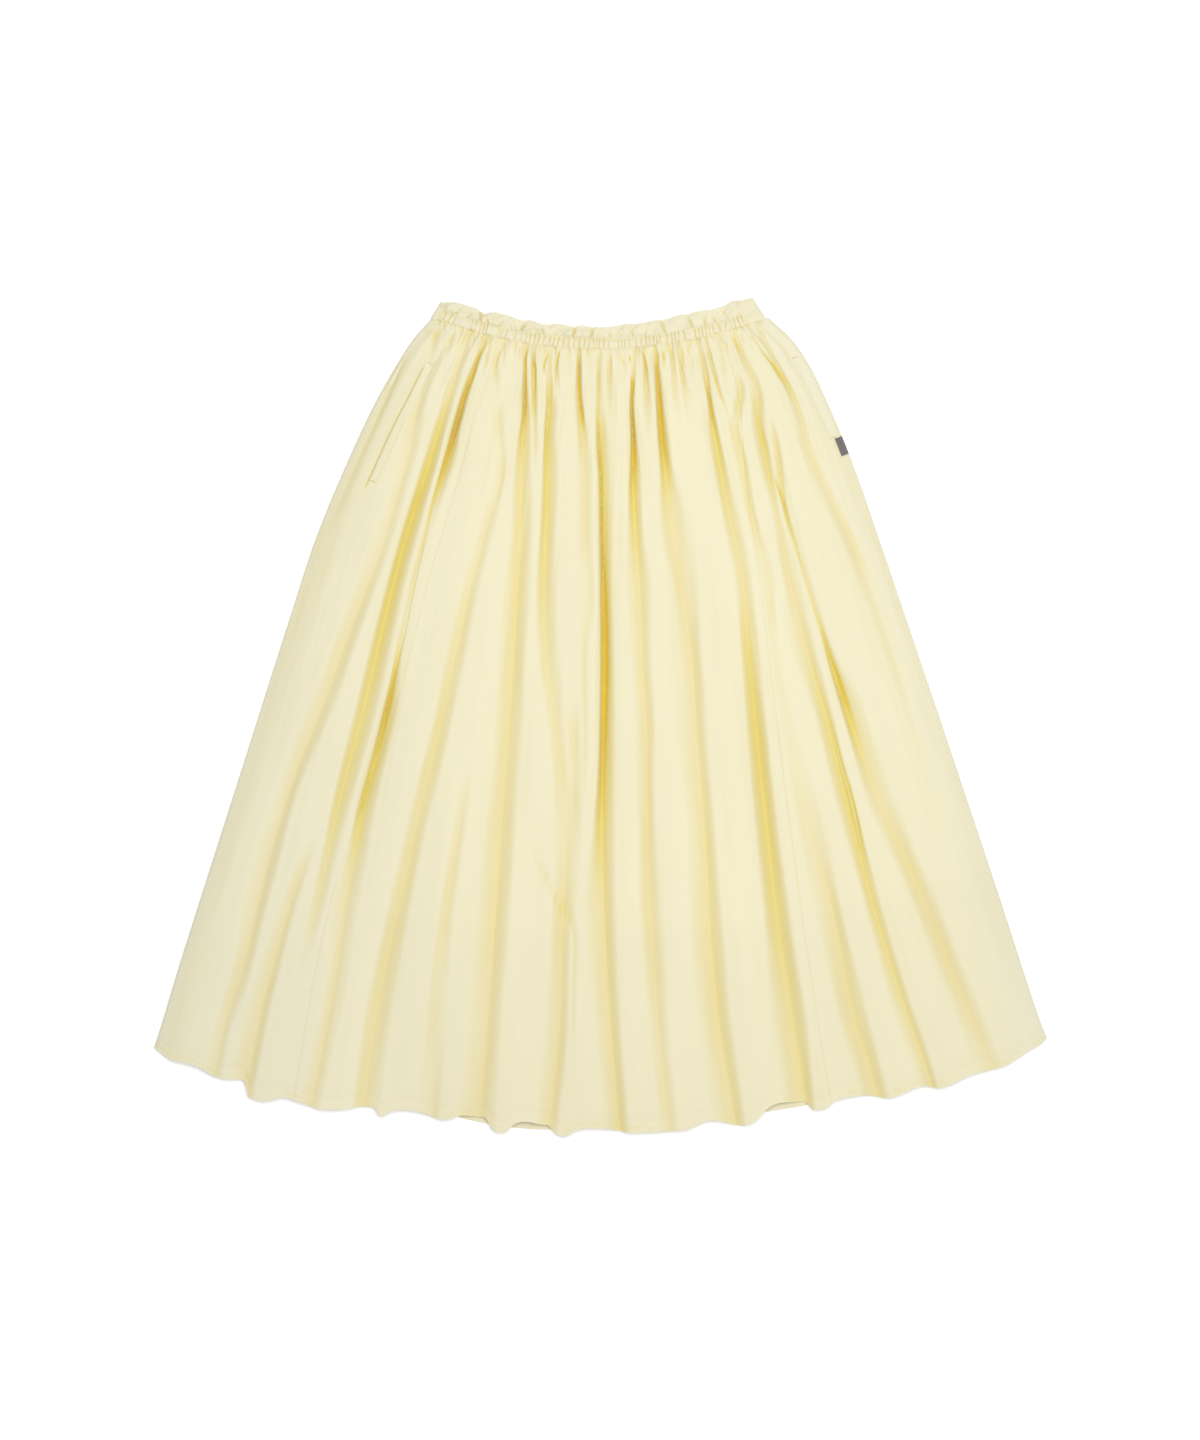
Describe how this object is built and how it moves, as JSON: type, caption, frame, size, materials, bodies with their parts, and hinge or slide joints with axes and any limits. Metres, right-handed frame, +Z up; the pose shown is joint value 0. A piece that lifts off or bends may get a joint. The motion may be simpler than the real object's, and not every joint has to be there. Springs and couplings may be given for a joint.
{
  "type": "shirred long skirt",
  "caption": "Long flared skirt laid flat, with a shirred elastic waist casing, a ruffled heading, gathered folds, side-seam pockets and a narrow turned-up hem.",
  "frame": {"origin": "on the flat underside, under the middle of the laid-out skirt's bounding box", "axes": "+X to the viewer's right across the skirt, +Y towards the waist, +Z up from the surface it lies on, front of the skirt facing up"},
  "size_m": [0.9188, 0.8628, 0.0152],
  "materials": {
    "cotton": "matt pale yellow cotton poplin",
    "tab": "dark grey woven tape, bare"
  },
  "bodies": {
    "root": {"back_panel": "cotton", "front_left_panel": "cotton", "front_centre_panel": "cotton", "front_right_panel": "cotton", "waist_casing": "cotton", "waist_frill": "cotton", "pocket_band_left": "cotton", "pocket_band_right": "cotton", "side_tab": "tab"}
  },
  "joints": []
}
